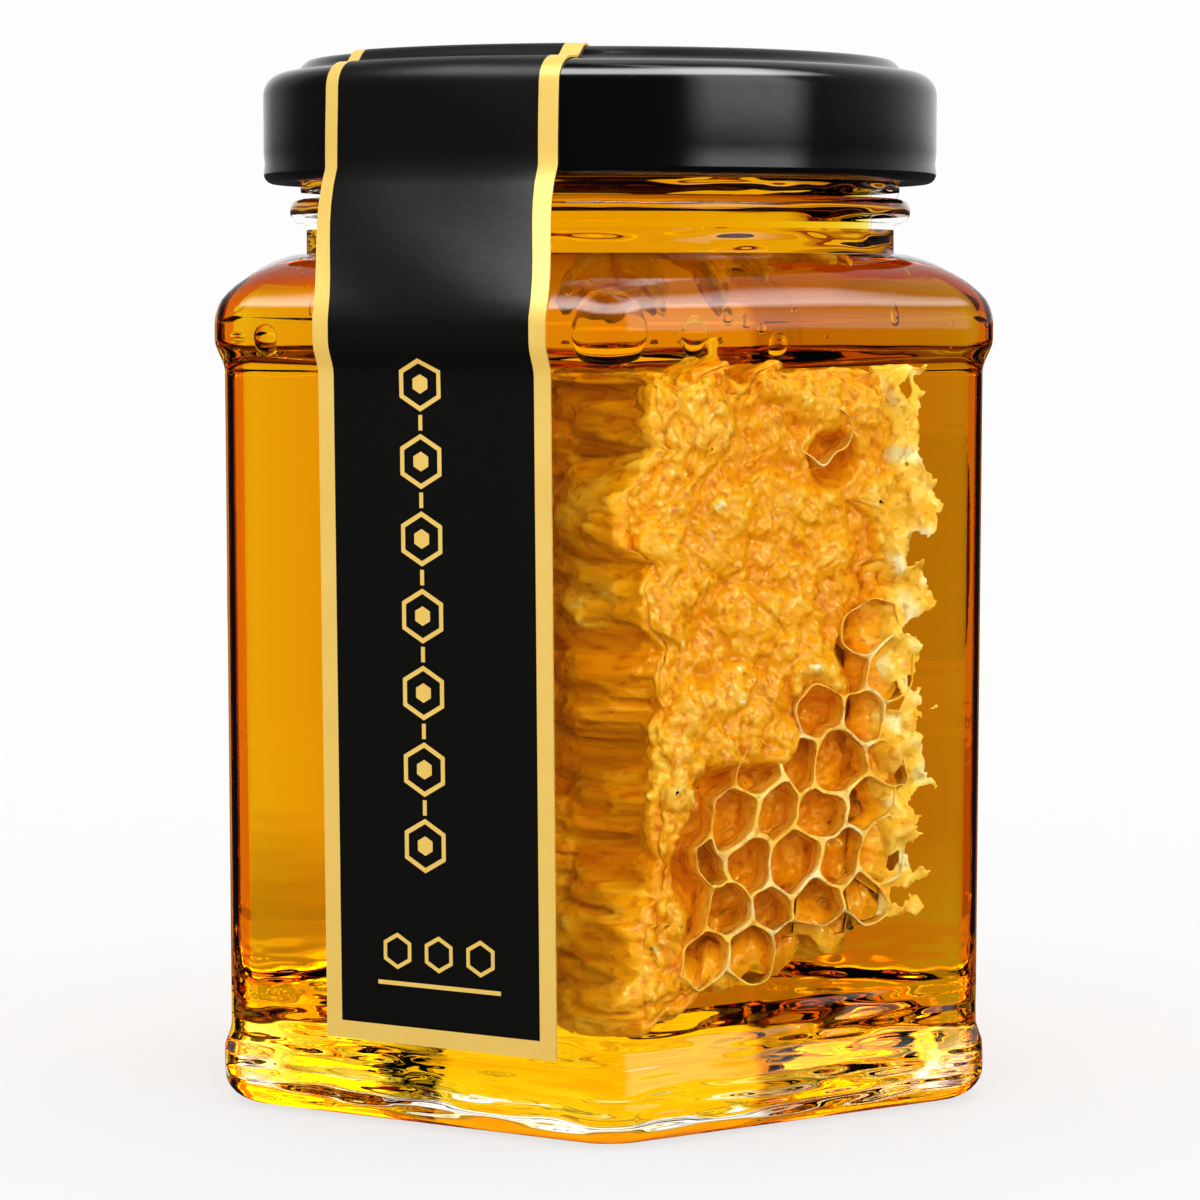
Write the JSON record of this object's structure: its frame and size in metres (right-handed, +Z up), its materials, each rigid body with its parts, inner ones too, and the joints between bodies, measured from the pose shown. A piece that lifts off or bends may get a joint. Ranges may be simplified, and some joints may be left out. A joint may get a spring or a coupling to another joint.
{
  "type": "honey jar",
  "caption": "Hexagonal clear glass jar of honey with a piece of comb in it, closed by a black twist-off lid under a paper seal strip with a gold border.",
  "frame": {"origin": "centre of the base, on the surface that the jar stands on", "axes": "+Z up; -Y towards the corner between the face with the seal strip and the face with the comb"},
  "size_m": [0.0728, 0.083, 0.0989],
  "materials": {
    "glass": "clear, gloss",
    "lid_lacquer": "gloss black lacquer",
    "honey": "clear amber liquid",
    "beeswax": "satin wax",
    "strip_paper": "satin black with a gold border",
    "label_paper": "satin with a pale gold rim"
  },
  "bodies": {
    "root": {"glass_jar": "glass", "lid": "lid_lacquer", "honey": "honey", "honeycomb": "beeswax", "seal_strip": "strip_paper", "side_label": "label_paper"}
  },
  "joints": []
}
